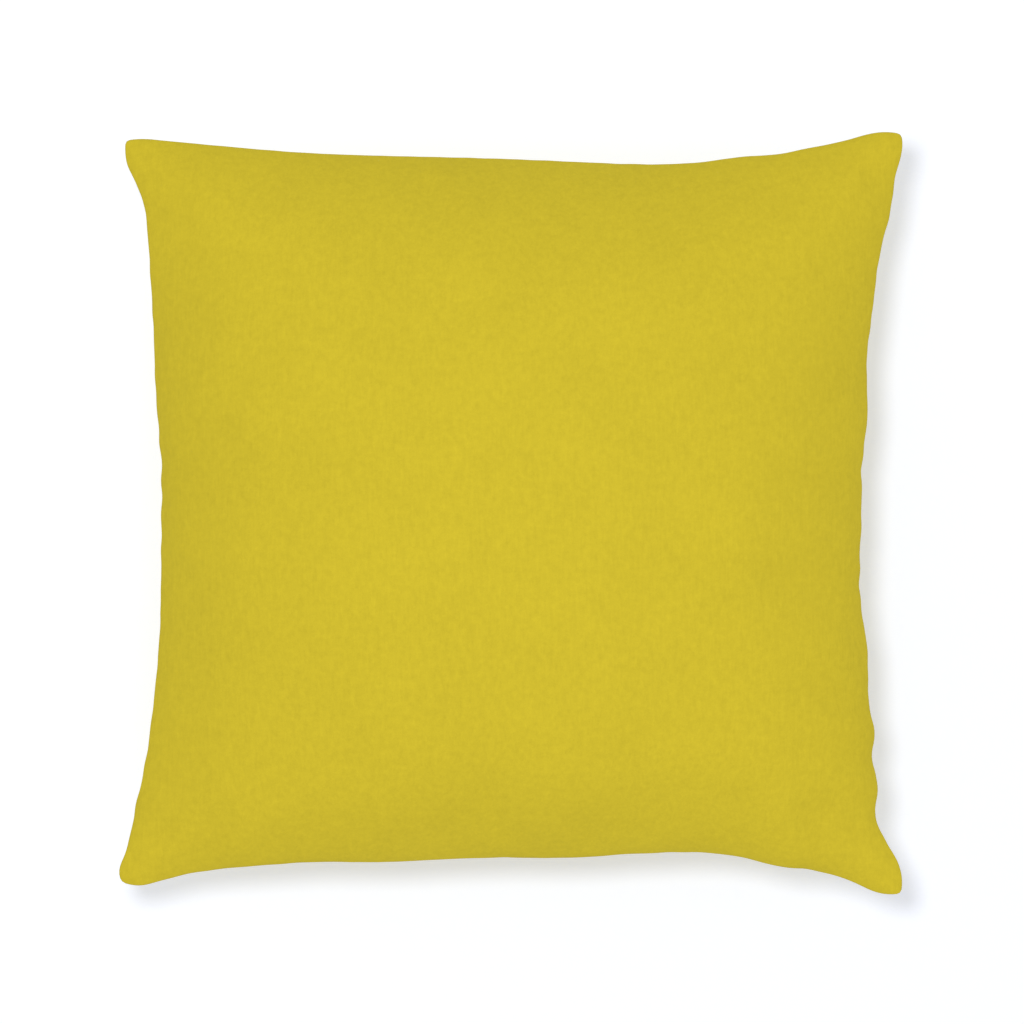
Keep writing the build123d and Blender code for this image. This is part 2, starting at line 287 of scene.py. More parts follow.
def applied(piece):
    """Leaves the piece with its modifiers applied to its mesh."""
    depsgraph = bpy.context.evaluated_depsgraph_get()
    mesh = bpy.data.meshes.new_from_object(piece.evaluated_get(depsgraph))
    mesh.name = piece.name
    piece.modifiers.clear()
    piece.data = mesh
    return piece


# ---- the cover's settled shape -------------------------------------------------------------

# In millimetres: how deep the scallops are along the bottom, right, top and left, and how far
# the cloth rolls past the outline.
SCALLOPS = (0.12, 0.45, 0.12, 0.4)
ROLL_OUT = 0.2
SCALLOP_SIZES = 13 * MM, 26 * MM
SCALLOPS_FADE = 25 * MM                 # from each corner


def outline_sides():
    """The four sides from corner to corner, with the small scallops of a gathered seam."""
    sides = []
    for number, side in enumerate((BOTTOM_SIDE, RIGHT_SIDE, TOP_SIDE, LEFT_SIDE)):
        line = smooth_curve(np.array(side) * MM, GRID)
        ahead = np.gradient(line, axis=0)
        outward = np.stack([ahead[:, 1], -ahead[:, 0]], 1)
        outward /= np.linalg.norm(outward, axis=1, keepdims=True)
        along = np.linspace(0, 1, GRID)
        fade = np.clip(np.minimum(along, 1 - along) * SIDE / SCALLOPS_FADE, 0, 1)
        wave = waves(along * SIDE, *SCALLOP_SIZES, 71 + number)
        scallops = outward * (SCALLOPS[number] * MM * wave * fade)[:, None]
        sides.append(line + scallops + outward * ROLL_OUT * MM)
    return sides


def places():
    """How far along and across each point of a panel's grid is, from 0 to 1."""
    t = np.linspace(0, 1, GRID)
    return np.meshgrid(t, t, indexing="ij")


def patch(bottom, right, top, left):
    """A grid of points that fills four sides, given anticlockwise."""
    u, v = (w[..., None] for w in places())
    near, far = bottom[:, None], top[::-1][:, None]
    west, east = left[::-1][None], right[None]
    corners = (
        (1 - u) * (1 - v) * bottom[0] + u * (1 - v) * bottom[-1]
        + (1 - u) * v * top[-1] + u * v * top[0]
    )
    return (1 - v) * near + v * far + (1 - u) * west + u * east - corners


def zip_share(points):
    """1 where the zip holds the seam, falling to 0 past each of its ends."""
    past = np.clip((np.abs(points[:, 0]) - CHANNEL_HALF) / RAMP, 0, 1)
    share = 1 - past * past * (3 - 2 * past)
    return np.where(points[:, 1] < ZIP_SIDE, share, 0.0)


PLAIN_LOBE = 1.2 * MM             # how far the cloth bulges past the seam line
PLAIN_LOBE_HEIGHT = 2.0 * MM      # seam plane to the widest part of that bulge
ZIP_LOBE_HEIGHT = 6.0 * MM
ZIP_REACH = 8                     # the higher, the closer to its side the zip's lift stays
CROWN_FULLNESS = 0.6              # the lower, the steeper the crown rises from the seam


@functools.lru_cache(maxsize=None)
def settled_cover(pressure, crown, slack):
    """Both panels as grids of points, filled and settled, with their edges on the outline."""
    sides = outline_sides()
    plan, bottom = patch(*sides), sides[0]
    u, v = places()
    share = np.zeros((GRID, GRID))
    share[:] = zip_share(bottom)[:, None] * (1 - v) ** ZIP_REACH
    lobe = PLAIN_LOBE_HEIGHT + (ZIP_LOBE_HEIGHT - PLAIN_LOBE_HEIGHT) * share
    dome = np.clip((1 - (2 * u - 1) ** 2) * (1 - (2 * v - 1) ** 2), 0, 1)
    rise = dome ** CROWN_FULLNESS * crown
    halves = [np.dstack([plan, SEAM_Z + side * (lobe + rise)]) for side in (1, -1)]
    start = np.concatenate([half.reshape(-1, 3) for half in halves])
    return simulate(start, pressure, slack).reshape(2, GRID, GRID, 3)


SETTLING_FRAMES = 18


def simulate(start, pressure, slack):
    """Lets the closed cover settle under its fill's pressure, held along its seam."""
    loop = rim_loop(GRID)
    back = GRID * GRID
    after = np.roll(loop, -1)
    seam = np.stack([loop, loop + back, after + back, after], -1)
    faces = np.concatenate([grid_faces(GRID, GRID), grid_faces(GRID, GRID, back, True), seam])
    mesh = bpy.data.meshes.new("settling")
    mesh.from_pydata(start.tolist(), [], faces.tolist())
    cloth = bpy.data.objects.new("settling", mesh)
    scene = bpy.context.scene
    scene.collection.objects.link(cloth)
    held = cloth.vertex_groups.new(name="seam")
    held.add([int(i) for i in np.concatenate([loop, loop + back])], 1, "REPLACE")
    modifier = cloth.modifiers.new("cloth", "CLOTH")
    settings = modifier.settings
    settings.vertex_group_mass = "seam"
    settings.use_pressure = True
    settings.uniform_pressure_force = pressure
    settings.quality = 6
    settings.tension_stiffness = 30
    settings.compression_stiffness = 10
    settings.shear_stiffness = 5
    settings.bending_stiffness = 2
    settings.effector_weights.gravity = 0
    settings.shrink_min = -slack
    modifier.collision_settings.use_collision = False
    modifier.point_cache.frame_start = 1
    modifier.point_cache.frame_end = SETTLING_FRAMES
    for number in range(1, SETTLING_FRAMES + 1):
        scene.frame_set(number)
    mesh = cloth.evaluated_get(bpy.context.evaluated_depsgraph_get()).data
    points = np.empty(len(start) * 3)
    mesh.vertices.foreach_get("co", points)
    bpy.data.objects.remove(cloth, do_unlink=True)
    scene.frame_set(1)
    return points.reshape(-1, 3)


def normals(grid):
    """Unit normals of a grid of points, upwards for the front panel."""
    along_u, along_v = np.gradient(grid, axis=0), np.gradient(grid, axis=1)
    across = np.cross(along_u, along_v)
    return across / np.maximum(np.linalg.norm(across, axis=2, keepdims=True), 1e-12)


# Gathers beside the seam.
GATHER_REACH = 17 * MM
GATHER_SIZES = 11 * MM, 34 * MM
GATHERS_FADE = 30 * MM            # from each corner

# Long soft creases: start and end from the middle, half width and depth, all in millimetres.
CREASES = (
    ((-165, 58), (50, 52), 9, 0.35),
    ((-6, -196), (-10, -120), 8, 0.5),
    ((60, -196), (66, -128), 9, 0.6),
    ((199, 24), (160, 20), 4, 0.5),
    ((199, 8), (168, 2), 4, 0.45),
    ((-199, 66), (-168, 60), 5, 0.4),
    ((-199, 30), (-172, 28), 4, 0.35),
    ((-199, -60), (-165, -52), 5, 0.4),
    ((205, -142), (176, -132), 4, 0.6),
    ((203, -116), (170, -104), 5, 0.5),
    ((206, -178), (180, -160), 5, 0.6),
    ((-206, 180), (-184, 166), 5, 0.5),
)


def creased(grid, side):
    """Adds gathers beside the seam and a few long soft creases to a settled panel."""
    u, v = places()
    depth = np.zeros((GRID, GRID))
    # Away from and along the bottom, right, top and left, and how strongly each is gathered.
    edges = ((v, u, 0.6), (1 - u, v, 1.0), (1 - v, u, 0.7), (u, v, 0.6))
    seeds = 11 if side > 0 else 18
    for number, (inward, along, height) in enumerate(edges):
        gather = waves(along * SIDE, *GATHER_SIZES, seeds + number)
        ends = np.clip(np.minimum(along, 1 - along) * SIDE / GATHERS_FADE, 0, 1)
        beside = inward * SIDE / GATHER_REACH
        depth += height * gather * ends * beside * np.exp(1 - beside)
    depth *= bpy.context.scene.pillow_shape.pucker
    if side > 0:
        for start, end, width, drop in CREASES:
            a, b = np.array(start) * MM, np.array(end) * MM
            line = b - a
            place = np.clip(((grid[..., :2] - a) @ line) / (line @ line), 0, 1)
            away = np.linalg.norm(grid[..., :2] - (a + place[..., None] * line), axis=-1)
            fade = np.clip(1.15 - place, 0, 1)
            depth -= drop * MM * fade * np.exp(-(away / (width * MM)) ** 2)
    return grid + normals(grid) * side * depth[..., None]


def rested(points):
    """Presses whatever would be below the surface flat against it."""
    soft = 1.6 * MM                   # how gradually the cloth comes down to the surface
    points = points.copy()
    points[..., 2] = soft * np.logaddexp(0, points[..., 2] / soft)
    return points


@functools.lru_cache(maxsize=None)
def cover_grids():
    """The outer surfaces of the front and back panels."""
    shape = bpy.context.scene.pillow_shape
    front, back = settled_cover(shape.pressure, shape.crown, shape.slack)
    return creased(front, 1), rested(creased(back, -1))


# ---- seams ---------------------------------------------------------------------------------

def seam_line(rim, zip_too=True):
    """The seam line inside a panel's rim, with the way inwards and the zip's share there."""
    share = zip_share(rim) if zip_too else np.zeros(len(rim))
    ahead = np.roll(rim[:, :2], -1, axis=0) - np.roll(rim[:, :2], 1, axis=0)
    inward = np.stack([-ahead[:, 1], ahead[:, 0]], 1)
    inward /= np.linalg.norm(inward, axis=1, keepdims=True)
    line = rim[:, :2] + inward * PLAIN_LOBE
    line[:, 1] = np.where(share > 0, share * ZIP_LINE + (1 - share) * line[:, 1], line[:, 1])
    inward += (np.array([0.0, 1.0]) - inward) * share[:, None]
    inward /= np.linalg.norm(inward, axis=1, keepdims=True)
    return line, inward, share


def corner_room(rim, least, share):
    """How deep inside its rim a line may run, since it has to turn sooner near a corner."""
    side = len(rim) // 4
    place = np.arange(len(rim)) % side
    spacing = np.linalg.norm(rim[1] - rim[0])
    return least + share * (np.minimum(place, side - place) * spacing)


def thread_depth(rim, depth):
    """The depth of a row of stitches at each rim point."""
    return np.minimum(depth, corner_room(rim, 0.5 * MM, 0.55))


ALLOWANCE = 12.6 * MM
# The turned-in cloth from the lip to its raw edge, in millimetres: its depth inwards and its
# height off the seam plane along the zip (None is the shelf), and its depth along a plain seam.
ZIP_FOLD = (
    (0, 0.95), (0.15, 0.6), (0.5, 0.45), (0.85, 0.6), (1, 0.95), (1, 2.5), (1, 3.9),
    (1.15, 4.25), (1.6, None), (7, None), (13, None),
)
PLAIN_FOLD = (0.4, 0.6, 0.8, 1.0, 1.3, 1.7, 2.4, 3.2, 4.2, 8.0, 13.0)
PLAIN_GAP = 0.06          # seam plane to the cloth's face, in millimetres
BEND_ROWS = 2


def bend(start, end, lead, tail, rows):
    """Rows of a cubic bend between two sets of points, with a handle at each end."""
    out = []
    for t in np.linspace(0, 1, rows + 2)[1:-1]:
        a, b, c, d = (1 - t) ** 3, 3 * t * (1 - t) ** 2, 3 * t * t * (1 - t), t ** 3
        out.append(a * start + b * lead + c * tail + d * end)
    return out


def edge_rows(rim, side, allowance=ALLOWANCE, zip_too=True):
    """The rows that turn a panel's rim in to its seam line and on into its allowance."""
    line, inward, share = seam_line(rim, zip_too)
    room = np.minimum(corner_room(rim, 0.8 * MM, 0.62), allowance + 0.4 * MM)
    rows = []
    for plain, (depth, height) in zip(PLAIN_FOLD, ZIP_FOLD):
        height = SHELF if height is None else height * MM
        deep = np.minimum(plain * MM * allowance / ALLOWANCE, room)
        depth = share * depth * MM + (1 - share) * deep
        height = share * height + (1 - share) * PLAIN_GAP * MM
        rows.append(np.column_stack([line + inward * depth[:, None], SEAM_Z + side * height]))
    first = rows[0]
    lead = rim.copy()
    lead[:, 2] = rim[:, 2] - side * (0.5 + 0.1 * share) * np.abs(rim[:, 2] - SEAM_Z)
    tail = first.copy()
    tail[:, :2] += (rim[:, :2] - first[:, :2]) * (0.55 - 0.2 * share)[:, None]
    tail[:, 2] += side * share * 0.8 * MM
    return bend(rim, first, lead, tail, BEND_ROWS) + rows


def sewn_panel(name, grid, side, cloth, material, allowance=ALLOWANCE, zip_too=True):
    """A panel of cloth with thickness: its crown, its turned edge and its allowance."""
    size = len(grid)
    loop = rim_loop(size)
    flat_grid = grid.reshape(-1, 3)
    rows = edge_rows(flat_grid[loop], side, allowance, zip_too)
    points = np.concatenate([flat_grid] + rows)
    faces = list(grid_faces(size, size, 0, side < 0))
    before = loop
    for number in range(len(rows)):
        row = size * size + number * len(loop) + np.arange(len(loop))
        quads = np.stack([before, row, np.roll(row, -1), np.roll(before, -1)], -1)
        faces += list(quads if side > 0 else quads[:, ::-1])
        before = row
    piece = make_piece(name, points, faces, material, nodes=[name + "_panel"])
    smooth = piece.modifiers.new("smooth", "SUBSURF")
    smooth.levels = smooth.render_levels = SUBDIVISIONS
    thick = piece.modifiers.new("cloth", "SOLIDIFY")
    thick.thickness = cloth
    thick.offset = -1
    return applied(piece)


def cover_rim():
    """The edge of the cover's front panel."""
    front, _ = cover_grids()
    return front.reshape(-1, 3)[rim_loop(GRID)]


def seam_path(depth, height):
    """A line at a depth inside the plain seam, from one end of the zip round to the other."""
    rim = cover_rim()
    line, inward, share = seam_line(rim)
    flat = line + inward * thread_depth(rim, depth)[:, None]
    path = np.column_stack([flat, np.full(len(rim), SEAM_Z + height)])
    start = int(np.argmax((share <= 0) & (rim[:, 0] > 0)))
    path = np.roll(path, -start, axis=0)
    keep = np.roll(share, -start) <= 0
    return path[keep]


# ---- materials -----------------------------------------------------------------------------

def new_group(name, inputs, outputs):
    """An empty shader node group with named value inputs and outputs."""
    group = bpy.data.node_groups.new(name, "ShaderNodeTree")
    for label, default in inputs:
        socket = group.interface.new_socket(label, in_out="INPUT", socket_type="NodeSocketFloat")
        socket.default_value = default
    for label in outputs:
        group.interface.new_socket(label, in_out="OUTPUT", socket_type="NodeSocketFloat")
    return group


def noise(nodes, scale, detail=3.0, roughness=0.5):
    """A noise texture."""
    node = nodes.new("ShaderNodeTexNoise")
    node.inputs["Scale"].default_value = scale
    node.inputs["Detail"].default_value = detail
    node.inputs["Roughness"].default_value = roughness
    return node


def sums(nodes, links, terms):
    """The sum of several values, each times its weight."""
    total = None
    for value, weight in terms:
        step = nodes.new("ShaderNodeMath")
        step.operation = "MULTIPLY_ADD"
        links.new(value, step.inputs[0])
        step.inputs[1].default_value = weight
        if total is None:
            step.inputs[2].default_value = 0.0
        else:
            links.new(total, step.inputs[2])
        total = step.outputs[0]
    return total


@functools.lru_cache(maxsize=None)
def nap_group():
    """Brushed short nap: blotches where it lies over, fine streaks along Y and a fine pile."""
    group = new_group("short nap", (("Blotch", 260.0), ("Pile", 1500.0)), ("Tone", "Height"))
    nodes, links = group.nodes, group.links
    source, sink = nodes.new("NodeGroupInput"), nodes.new("NodeGroupOutput")
    where = nodes.new("ShaderNodeTexCoord")
    stretch = nodes.new("ShaderNodeMapping")
    stretch.inputs["Scale"].default_value = (1.0, 0.14, 1.0)
    links.new(where.outputs["Object"], stretch.inputs["Vector"])
    blotch = noise(nodes, 260.0, 4.0, 0.6)
    links.new(where.outputs["Object"], blotch.inputs["Vector"])
    links.new(source.outputs["Blotch"], blotch.inputs["Scale"])
    cloud = noise(nodes, 22.0, 3.0, 0.55)
    links.new(where.outputs["Object"], cloud.inputs["Vector"])
    streak = noise(nodes, 620.0, 3.0, 0.6)
    links.new(stretch.outputs["Vector"], streak.inputs["Vector"])
    pile = noise(nodes, 1500.0, 2.0, 0.7)
    links.new(where.outputs["Object"], pile.inputs["Vector"])
    links.new(source.outputs["Pile"], pile.inputs["Scale"])
    tone = sums(nodes, links, (
        (blotch.outputs["Fac"], 0.36), (cloud.outputs["Fac"], 0.16),
        (streak.outputs["Fac"], 0.24), (pile.outputs["Fac"], 0.24)))
    height = sums(nodes, links, (
        (blotch.outputs["Fac"], 0.3), (streak.outputs["Fac"], 0.25),
        (pile.outputs["Fac"], 0.45)))
    links.new(tone, sink.inputs["Tone"])
    links.new(height, sink.inputs["Height"])
    return group


@functools.lru_cache(maxsize=None)
def weave_group():
    """A plain weave: two crossing sets of yarns, a little uneven."""
    group = new_group("plain weave", (("Yarns", 2500.0), ("Uneven", 0.35)), ("Tone", "Height"))
    nodes, links = group.nodes, group.links
    source, sink = nodes.new("NodeGroupInput"), nodes.new("NodeGroupOutput")
    where = nodes.new("ShaderNodeTexCoord")
    bands = []
    for direction in ("X", "Y"):
        wave = nodes.new("ShaderNodeTexWave")
        wave.bands_direction = direction
        wave.inputs["Distortion"].default_value = 0.6
        wave.inputs["Detail"].default_value = 1.0
        links.new(where.outputs["Object"], wave.inputs["Vector"])
        links.new(source.outputs["Yarns"], wave.inputs["Scale"])
        bands.append(wave.outputs["Fac"])
    slub = noise(nodes, 300.0, 3.0)
    links.new(where.outputs["Object"], slub.inputs["Vector"])
    uneven = nodes.new("ShaderNodeMath")
    uneven.operation = "MULTIPLY"
    links.new(slub.outputs["Fac"], uneven.inputs[0])
    links.new(source.outputs["Uneven"], uneven.inputs[1])
    yarns = nodes.new("ShaderNodeMath")
    yarns.operation = "MAXIMUM"
    links.new(bands[0], yarns.inputs[0])
    links.new(bands[1], yarns.inputs[1])
    tone = sums(nodes, links, ((yarns.outputs[0], 0.65), (uneven.outputs[0], 1.0)))
    links.new(tone, sink.inputs["Tone"])
    links.new(yarns.outputs[0], sink.inputs["Height"])
    return group


@functools.lru_cache(maxsize=None)
def wear_group():
    """Fine scratches and dull patches on plated metal."""
    group = new_group("handled metal", (("Scratch", 900.0),), ("Tone", "Height"))
    nodes, links = group.nodes, group.links
    source, sink = nodes.new("NodeGroupInput"), nodes.new("NodeGroupOutput")
    where = nodes.new("ShaderNodeTexCoord")
    stretch = nodes.new("ShaderNodeMapping")
    stretch.inputs["Scale"].default_value = (0.08, 1.0, 1.0)
    links.new(where.outputs["Object"], stretch.inputs["Vector"])
    scratch = noise(nodes, 900.0, 4.0, 0.7)
    links.new(stretch.outputs["Vector"], scratch.inputs["Vector"])
    links.new(source.outputs["Scratch"], scratch.inputs["Scale"])
    dull = noise(nodes, 140.0, 3.0)
    links.new(where.outputs["Object"], dull.inputs["Vector"])
    tone = sums(nodes, links, ((scratch.outputs["Fac"], 0.5), (dull.outputs["Fac"], 0.5)))
    links.new(tone, sink.inputs["Tone"])
    links.new(scratch.outputs["Fac"], sink.inputs["Height"])
    return group


TONE_LOW, TONE_HIGH = 0.3, 0.7      # most of a group's tone lies between these


def finish(name, group, colour, spread, rough, bump, distance, values=(), **sockets):
    """A Principled material whose colour, roughness and bump follow a group's tone and height.

    spread is how much darker and lighter the colour runs, and rough the lowest and highest
    roughness.
    """
    material = bpy.data.materials.new(name)
    material.use_nodes = True
    nodes, links = material.node_tree.nodes, material.node_tree.links
    shader = nodes["Principled BSDF"]
    effect = nodes.new("ShaderNodeGroup")
    effect.node_tree = group
    for label, value in values:
        effect.inputs[label].default_value = value
    ramp = nodes.new("ShaderNodeValToRGB")
    low, high = ramp.color_ramp.elements
    low.position, high.position = TONE_LOW, TONE_HIGH
    low.color = (*[c * (1 - spread) for c in colour], 1)
    high.color = (*[min(1.0, c * (1 + spread)) for c in colour], 1)
    links.new(effect.outputs["Tone"], ramp.inputs["Fac"])
    links.new(ramp.outputs["Color"], shader.inputs["Base Color"])
    dullness = nodes.new("ShaderNodeMapRange")
    dullness.inputs["From Min"].default_value = TONE_LOW
    dullness.inputs["From Max"].default_value = TONE_HIGH
    dullness.inputs["To Min"].default_value = rough[0]
    dullness.inputs["To Max"].default_value = rough[1]
    links.new(effect.outputs["Tone"], dullness.inputs["Value"])
    links.new(dullness.outputs["Result"], shader.inputs["Roughness"])
    relief = nodes.new("ShaderNodeBump")
    relief.inputs["Strength"].default_value = bump
    relief.inputs["Distance"].default_value = distance
    links.new(effect.outputs["Height"], relief.inputs["Height"])
    links.new(relief.outputs["Normal"], shader.inputs["Normal"])
    for label, value in sockets.items():
        shader.inputs[label.replace("_", " ")].default_value = value
    return material


def palette():
    """The colours that the sidebar shows."""
    return bpy.context.scene.pillow_finish


@functools.lru_cache(maxsize=None)
def suede():
    return finish("suede cloth", nap_group(), palette().suede, 0.12, (0.84, 0.96), 0.5,
                  0.35 * MM, Specular_IOR_Level=0.06, Sheen_Weight=0.08, Sheen_Roughness=0.5,
                  Sheen_Tint=(1.0, 0.82, 0.06, 1.0))


@functools.lru_cache(maxsize=None)
def sewing_thread():
    return finish("sewing thread", weave_group(), palette().thread, 0.12, (0.5, 0.7), 0.4,
                  0.05 * MM, (("Yarns", 5200.0),), Sheen_Weight=0.2)


@functools.lru_cache(maxsize=None)
def zip_tape():
    return finish("woven tape", weave_group(), palette().tape, 0.14, (0.65, 0.85), 0.6,
                  0.08 * MM, (("Yarns", 2600.0),), Sheen_Weight=0.15)


@functools.lru_cache(maxsize=None)
def nylon():
    return finish("nylon coil", wear_group(), palette().tape, 0.06, (0.28, 0.42), 0.15, 0.02 * MM,
                  (("Scratch", 1800.0),))


@functools.lru_cache(maxsize=None)
def plated_metal():
    return finish("plated metal", wear_group(), palette().metal, 0.12, (0.22, 0.42), 0.25,
                  0.02 * MM, Metallic=1.0)


@functools.lru_cache(maxsize=None)
def lining_cloth():
    return finish("lining cloth", weave_group(), palette().lining, 0.05, (0.82, 0.95), 0.4,
                  0.1 * MM, (("Yarns", 1500.0), ("Uneven", 0.6)), Sheen_Weight=0.08)


@functools.lru_cache(maxsize=None)
def fibre():
    return finish("polyester fibre", nap_group(), palette().fibre, 0.06, (0.85, 1.0), 0.8,
                  0.8 * MM, (("Blotch", 120.0), ("Pile", 900.0)), Sheen_Weight=0.3,
                  Subsurface_Weight=0.15)


@functools.lru_cache(maxsize=None)
def insert_thread():
    return finish("insert thread", weave_group(), palette().lining, 0.08, (0.5, 0.7), 0.4,
                  0.05 * MM, (("Yarns", 5200.0),), Sheen_Weight=0.2)


# ---- pieces --------------------------------------------------------------------------------

FLOOR_HALF = 6.0
FLOOR_COLOUR = (0.785, 0.81, 0.875, 1)      # cool, against the light that the cloth throws on it
TABLE_LIGHT = (0.83, 0.865, 1, 1)
LIGHTS = (                                  # name, width and place
    ("key", 0.54, (-0.33, 0.33, 2.6)),
    ("fill", 1.2, (0.6, -0.6, 2.2)),
)
FOCAL_LENGTH = 200.0                        # in millimetres
CAMERA_ASIDE, CAMERA_UP = 0.86, 1.14        # off the pillow's middle, in millimetres


class PILLOW_OT_stage(bpy.types.Operator):
    """Lay the floor, and set the soft studio light and the camera overhead"""
    bl_idname = "pillow.stage"
    bl_label = "Stage"

    def execute(self, context):
        scene = context.scene
        floor = self.floor(scene)
        self.surround(scene)
        self.lights(scene, floor)
        self.camera(scene)
        return {"FINISHED"}

    def floor(self, scene):
        half = FLOOR_HALF
        corners = [(-half, -half, 0), (half, -half, 0), (half, half, 0), (-half, half, 0)]
        floor_mesh = bpy.data.meshes.new("floor")
        floor_mesh.from_pydata(corners, [], [(0, 1, 2, 3)])
        floor = bpy.data.objects.new("floor", floor_mesh)
        paint = bpy.data.materials.new("white floor")
        paint.use_nodes = True
        shader = paint.node_tree.nodes["Principled BSDF"]
        shader.inputs["Base Color"].default_value = FLOOR_COLOUR
        shader.inputs["Roughness"].default_value = 0.9
        shader.inputs["Specular IOR Level"].default_value = 0.1
        shader.inputs["Emission Color"].default_value = TABLE_LIGHT
        shader.inputs["Emission Strength"].default_value = scene.pillow_stage.table
        floor_mesh.materials.append(paint)
        scene.collection.objects.link(floor)
        return floor

    def surround(self, scene):
        """Even light all round, and plain white where a low view passes the floor."""
        world = bpy.data.worlds.new("surround")
        world.use_nodes = True
        nodes, links = world.node_tree.nodes, world.node_tree.links
        background, backdrop = nodes["Background"], nodes.new("ShaderNodeBackground")
        background.inputs["Color"].default_value = WHITE
        background.inputs["Strength"].default_value = scene.pillow_stage.surround
        backdrop.inputs["Color"].default_value = WHITE
        path, mix = nodes.new("ShaderNodeLightPath"), nodes.new("ShaderNodeMixShader")
        links.new(path.outputs["Is Camera Ray"], mix.inputs[0])
        links.new(background.outputs[0], mix.inputs[1])
        links.new(backdrop.outputs[0], mix.inputs[2])
        links.new(mix.outputs[0], nodes["World Output"].inputs["Surface"])
        scene.world = world
        scene.view_settings.view_transform = "Standard"

    def lights(self, scene, floor):
        """Two soft lights from above.  The fill is flagged off the floor."""
        target = Vector((0, 0, SEAM_Z))
        for name, size, place in LIGHTS:
            lamp = bpy.data.lights.new(name, "AREA")
            lamp.shape = "DISK"
            lamp.size = size
            lamp.energy = getattr(scene.pillow_stage, name)
            light = bpy.data.objects.new(name, lamp)
            light.location = place
            light.rotation_euler = (target - Vector(place)).to_track_quat("-Z", "Y").to_euler()
            scene.collection.objects.link(light)
        flagged = bpy.data.collections.new("flagged from the fill")
        flagged.objects.link(floor)
        flagged.collection_objects[0].light_linking.link_state = "EXCLUDE"
        light.light_linking.receiver_collection = flagged

    def camera(self, scene):
        lens = bpy.data.cameras.new("camera")
        lens.lens = FOCAL_LENGTH
        lens.clip_end = 50.0
        camera = bpy.data.objects.new("camera", lens)
        height = scene.pillow_stage.view_width * lens.lens / lens.sensor_width
        turn = -scene.pillow_stage.turn
        right, up = Vector((cos(turn), sin(turn), 0)), Vector((-sin(turn), cos(turn), 0))
        above = Vector((0, 0, SEAM_Z + height))
        camera.location = above + CAMERA_ASIDE * MM * right + CAMERA_UP * MM * up
        camera.rotation_euler = (0.0, 0.0, turn)
        scene.collection.objects.link(camera)
        scene.camera = camera


class PILLOW_OT_cover(bpy.types.Operator):
    """Make the cover's two panels in suede cloth, from the shape that they settle to"""
    bl_idname = "pillow.cover"
    bl_label = "Cover panels"

    def execute(self, context):
        cloth = context.scene.pillow_shape.cloth
        front, back = cover_grids()
        for name, grid, side in (("cover_front", front, 1), ("cover_back", back, -1)):
            piece = sewn_panel(name, grid, side, cloth, suede())
        return {"FINISHED"}


def line_length(path):
    """The length of a line of points."""
    return np.linalg.norm(np.diff(path, axis=0), axis=1).sum()


STITCH_STEPS = 6                  # points along each stitch


def lockstitch(path, length, rise, radius):
    """One thread of a lockstitch: it runs on one face and dips to the middle at each hole."""
    stitches = int(line_length(path) / length)
    steps = evenly(path, stitches * STITCH_STEPS + 1)
    place = np.arange(len(steps)) % STITCH_STEPS / STITCH_STEPS
    dip = np.clip(np.cos(2 * pi * place), 0, 1) ** 3
    steps[:, 2] -= rise * dip
    return tube(steps, radius, 5)


class PILLOW_OT_cover_stitches(bpy.types.Operator):
    """Sew the cover's seam: needle thread, bobbin thread and the overlocked edge"""
    bl_idname = "pillow.cover_stitches"
    bl_label = "Cover stitches"

    def execute(self, context):
        shape = context.scene.pillow_shape
        face = shape.cloth + PLAIN_GAP * MM + 0.14 * MM
        radius = 0.15 * MM
        for name, side in (("cover_needle_thread", 1), ("cover_bobbin_thread", -1)):
            path = seam_path(0.9 * MM, side * face)
            points, faces = lockstitch(path, shape.stitch, side * face, radius)
            node = "cover_seam_" + name.removeprefix("cover_")
            make_piece(name, points, faces, sewing_thread(), nodes=[node])
        self.overlock(face)
        return {"FINISHED"}

    def overlock(self, face):
        """Loops of thread round the raw edges, over one face, round the edge and back."""
        pitch, steps = 2.4 * MM, 10
        inner, edge = seam_path(8.2 * MM, 0), seam_path(13.2 * MM, 0)
        count = int(line_length(edge) / pitch) * steps + 1
        inner, edge = evenly(inner, count), evenly(edge, count)
        turn = np.arange(count) * 2 * pi / steps
        share = (0.5 + 0.5 * np.cos(turn))[:, None]
        path = inner * (1 - share) + edge * share
        path[:, 2] += face * np.sin(turn) * 1.15
        points, faces = tube(path, 0.13 * MM, 4)
        make_piece("cover_overlock", points, faces, sewing_thread(),
                   nodes=["cover_overlock_thread"])


